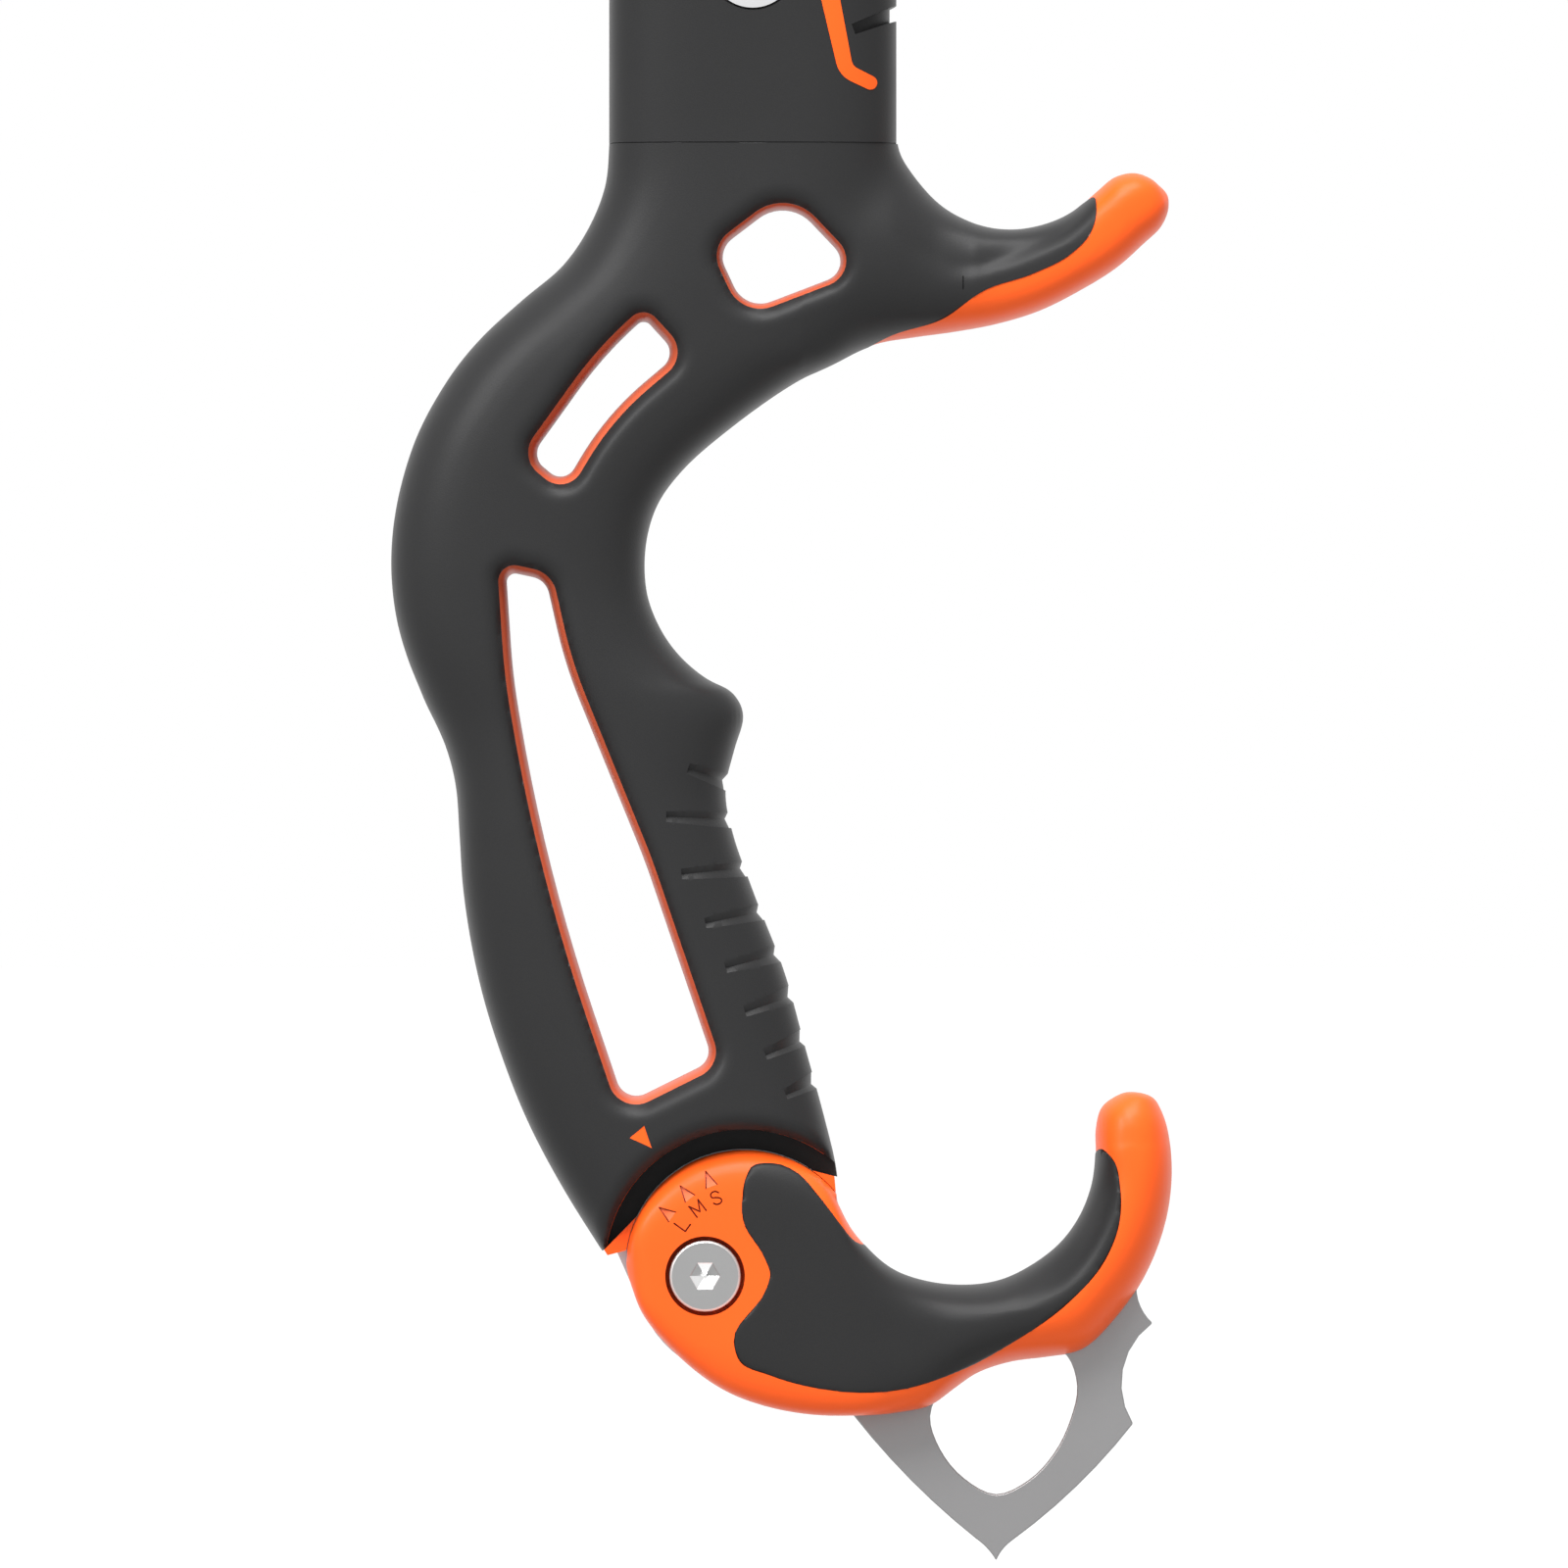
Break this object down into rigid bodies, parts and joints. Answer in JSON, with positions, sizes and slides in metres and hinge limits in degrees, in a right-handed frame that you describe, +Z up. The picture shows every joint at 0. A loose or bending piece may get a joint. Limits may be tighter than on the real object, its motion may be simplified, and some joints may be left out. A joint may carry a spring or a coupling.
{
  "type": "ice climbing tool",
  "caption": "Curved-shaft ice climbing tool: offset rubber handle with an upper finger horn, bolted pick and hammer, and a turning pommel that carries a spike with a leash eye.",
  "frame": {"origin": "middle of the lower grip, on the plane of the pick and the spike", "axes": "+Z up the shaft's straight run, +X the way the pick points, +Y to the climber's left"},
  "size_m": [0.2134, 0.026, 0.5001],
  "materials": {
    "shaft": "satin dark grey anodising",
    "rubber": "satin moulded rubber",
    "pad_rubber": "matt moulded rubber",
    "orange": "satin moulded nylon",
    "steel": "bead-blasted",
    "head_steel": "bead-blasted",
    "fastener": "turned, bright",
    "aluminium": "satin"
  },
  "bodies": {
    "tool": {"shaft_tube": "shaft", "shaft_sleeve": "rubber", "stripe_left": "orange", "stripe_right": "orange", "handle_core": "aluminium", "handle_frame": "orange", "grip_skin": "rubber", "handle_rivet": "fastener", "head_block": "aluminium", "head_rivets": "fastener", "pick": "steel", "pick_bolt": "fastener", "pick_nut": "fastener", "hammer": "head_steel", "hammer_bolt": "fastener", "hammer_nut": "fastener"},
    "pommel": {"pommel_left": "orange", "pommel_right": "orange", "pommel_pad": "pad_rubber", "spike": "steel", "spike_pins": "fastener", "pommel_bolt": "fastener", "pommel_nut": "fastener"}
  },
  "joints": [
    {"name": "pommel_turn", "type": "hinge", "parent": "tool", "child": "pommel", "pos_m": [0.016, 0, -0.048], "axis": [0, -1, 0], "range_deg": [-15, 15]}
  ]
}
